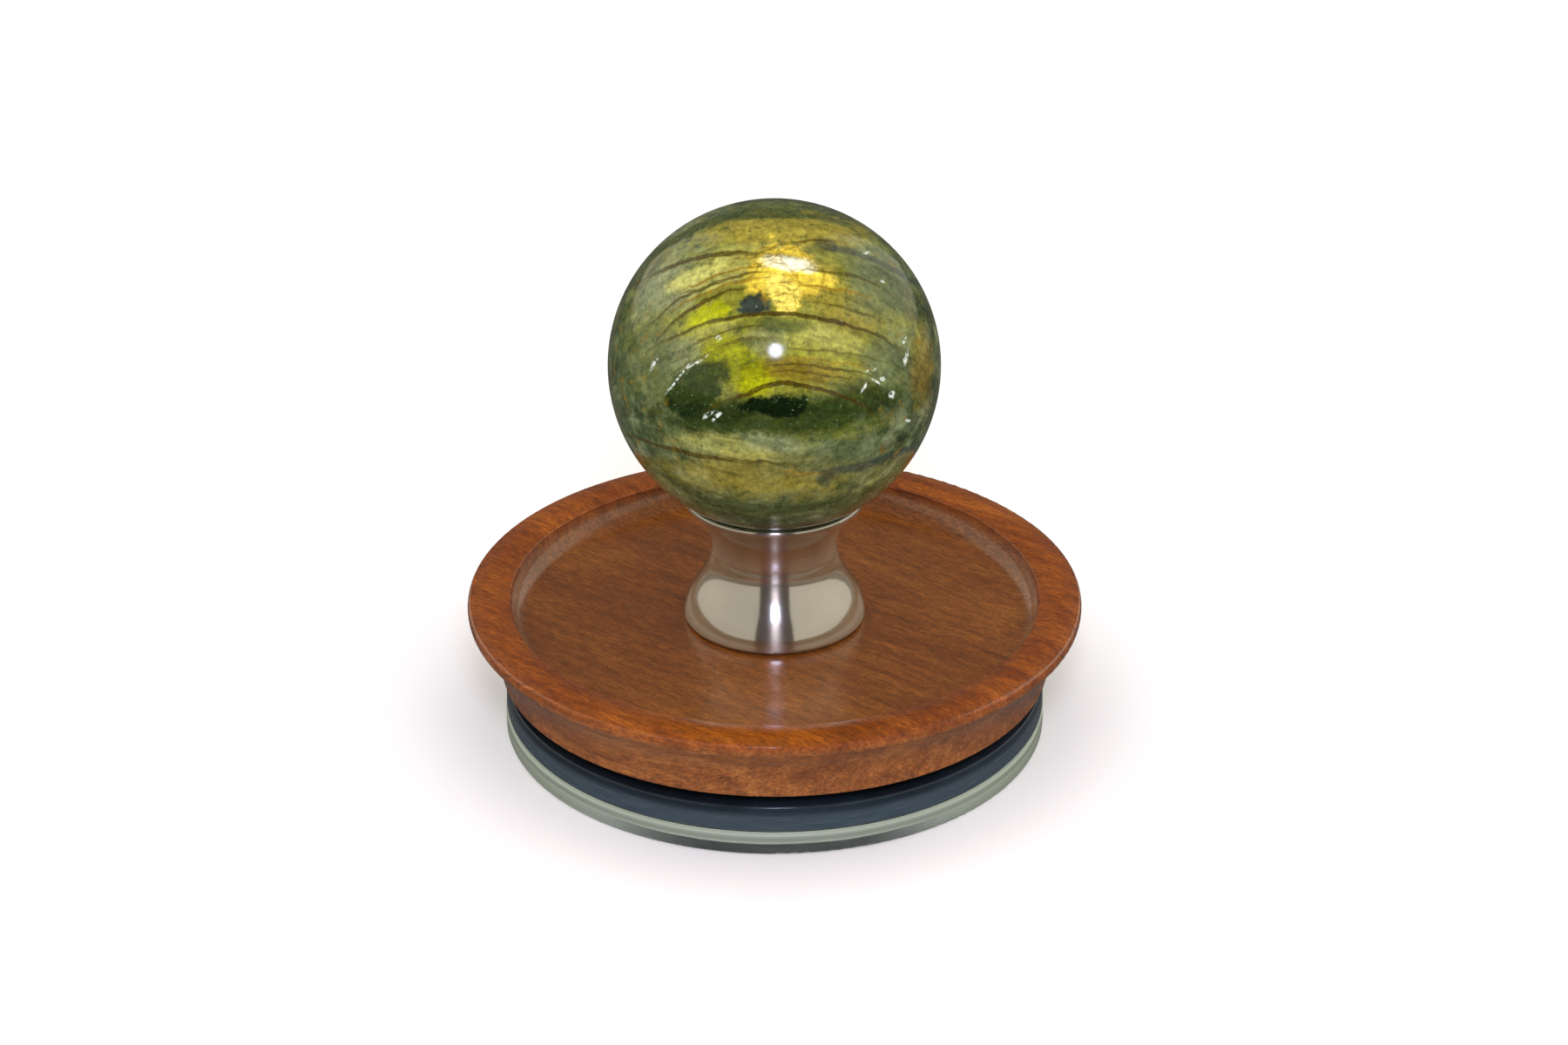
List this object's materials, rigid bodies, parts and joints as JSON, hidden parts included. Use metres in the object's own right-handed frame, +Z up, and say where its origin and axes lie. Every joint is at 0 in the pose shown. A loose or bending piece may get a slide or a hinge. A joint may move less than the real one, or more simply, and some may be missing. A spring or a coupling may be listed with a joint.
{
  "type": "demagnetizer",
  "caption": "Hand-spun magnetic demagnetizer: stone ball knob on a waisted metal pedestal turns a wooden disc over a dark base ring with a clear sole.",
  "frame": {"origin": "centre of the sole's underside, on the surface that the tool rests on", "axes": "+Z up along the axis that the disc spins about, +X to the right and -Y to the front of the usual view; the turned shape has no front of its own"},
  "size_m": [0.085, 0.085, 0.0768],
  "materials": {
    "labradorite": "polished, layered grey-green with gold flash",
    "brass_insert": "machined",
    "brushed_nickel": "brushed round the axis",
    "black_fibre": "matt fibre washer",
    "zinc_screw": "zinc plated",
    "zinc_washer": "zinc plated",
    "turned_wood": "satin polish over fine red-brown grain",
    "soft_iron": "ground, lightly oiled",
    "black_screw": "black oxide",
    "turned_steel": "turned",
    "zinc_hub_screw": "zinc plated",
    "carrier_nylon": "moulded, matt black",
    "magnet_plating": "nickel plated",
    "zinc_carrier_screw": "zinc plated",
    "inner_race_steel": "ground",
    "outer_race_steel": "ground",
    "bearing_ball_steel": "lapped",
    "cage_nylon": "natural nylon",
    "spring_steel": "phosphated",
    "navy_shell": "glossy blue-black lacquer on aluminium",
    "black_film": "double-sided adhesive film",
    "clear_acrylic": "clear, polished edge, slight green tint",
    "zinc_spindle_screw": "zinc plated",
    "steel_washer": "turned"
  },
  "bodies": {
    "base": {"sole_plate": "clear_acrylic", "sole_film": "black_film", "base_shell": "navy_shell", "bearing_outer_race": "outer_race_steel", "bearing_snap_ring": "spring_steel"},
    "rotor": {"stone_ball": "labradorite", "ball_insert": "brass_insert", "pedestal": "brushed_nickel", "pedestal_gasket": "black_fibre", "handle_screw": "zinc_screw", "handle_washer": "zinc_washer", "wooden_disc": "turned_wood", "yoke_ring": "soft_iron", "yoke_screws": "black_screw", "spindle_hub": "turned_steel", "hub_screws": "zinc_hub_screw", "magnet_carrier": "carrier_nylon", "carrier_screws": "zinc_carrier_screw", "bearing_inner_race": "inner_race_steel", "spindle_screw": "zinc_spindle_screw", "spindle_washer": "steel_washer", "magnet_north_1": "magnet_plating", "magnet_south_1": "magnet_plating", "magnet_north_2": "magnet_plating", "magnet_south_2": "magnet_plating", "magnet_north_3": "magnet_plating", "magnet_south_3": "magnet_plating", "magnet_north_4": "magnet_plating", "magnet_south_4": "magnet_plating"},
    "ball_cage": {"bearing_balls": "bearing_ball_steel", "bearing_cage": "cage_nylon"}
  },
  "joints": [
    {"name": "rotor_spin", "type": "hinge", "parent": "base", "child": "rotor", "pos_m": [0, 0, 0.0075], "axis": [0, 0, 1], "continuous": true},
    {"name": "cage_spin", "type": "hinge", "parent": "base", "child": "ball_cage", "pos_m": [0, 0, 0.0075], "axis": [0, 0, 1], "continuous": true}
  ],
  "couplings": [
    {"joint": "cage_spin", "follows": "rotor_spin", "ratio": 0.41667}
  ]
}
